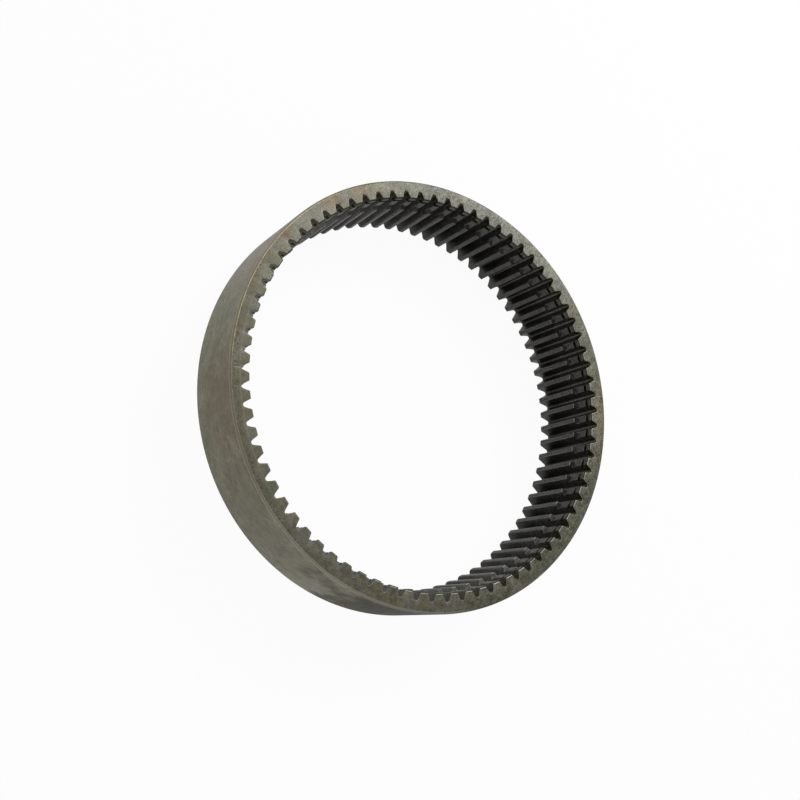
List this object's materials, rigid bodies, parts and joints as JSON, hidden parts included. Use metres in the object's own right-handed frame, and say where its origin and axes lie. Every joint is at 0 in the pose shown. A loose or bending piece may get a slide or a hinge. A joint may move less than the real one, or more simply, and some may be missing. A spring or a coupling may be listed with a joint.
{
  "type": "internal ring gear",
  "caption": "Steel internal ring gear with straight teeth, shortened tooth ends at the front face that seat a toothed carrier, and a snap ring groove through them.",
  "frame": {"origin": "centre of the back face, the one that the ring lies on", "axes": "+Z along the ring's axis, towards the front face with the snap ring groove; +X through the middle of a tooth space"},
  "size_m": [0.245, 0.245, 0.0492],
  "materials": {
    "steel": "turned and ground steel, dulled by handling and storage, with faint brown stains"
  },
  "bodies": {
    "root": {"ring_gear": "steel"}
  },
  "joints": []
}
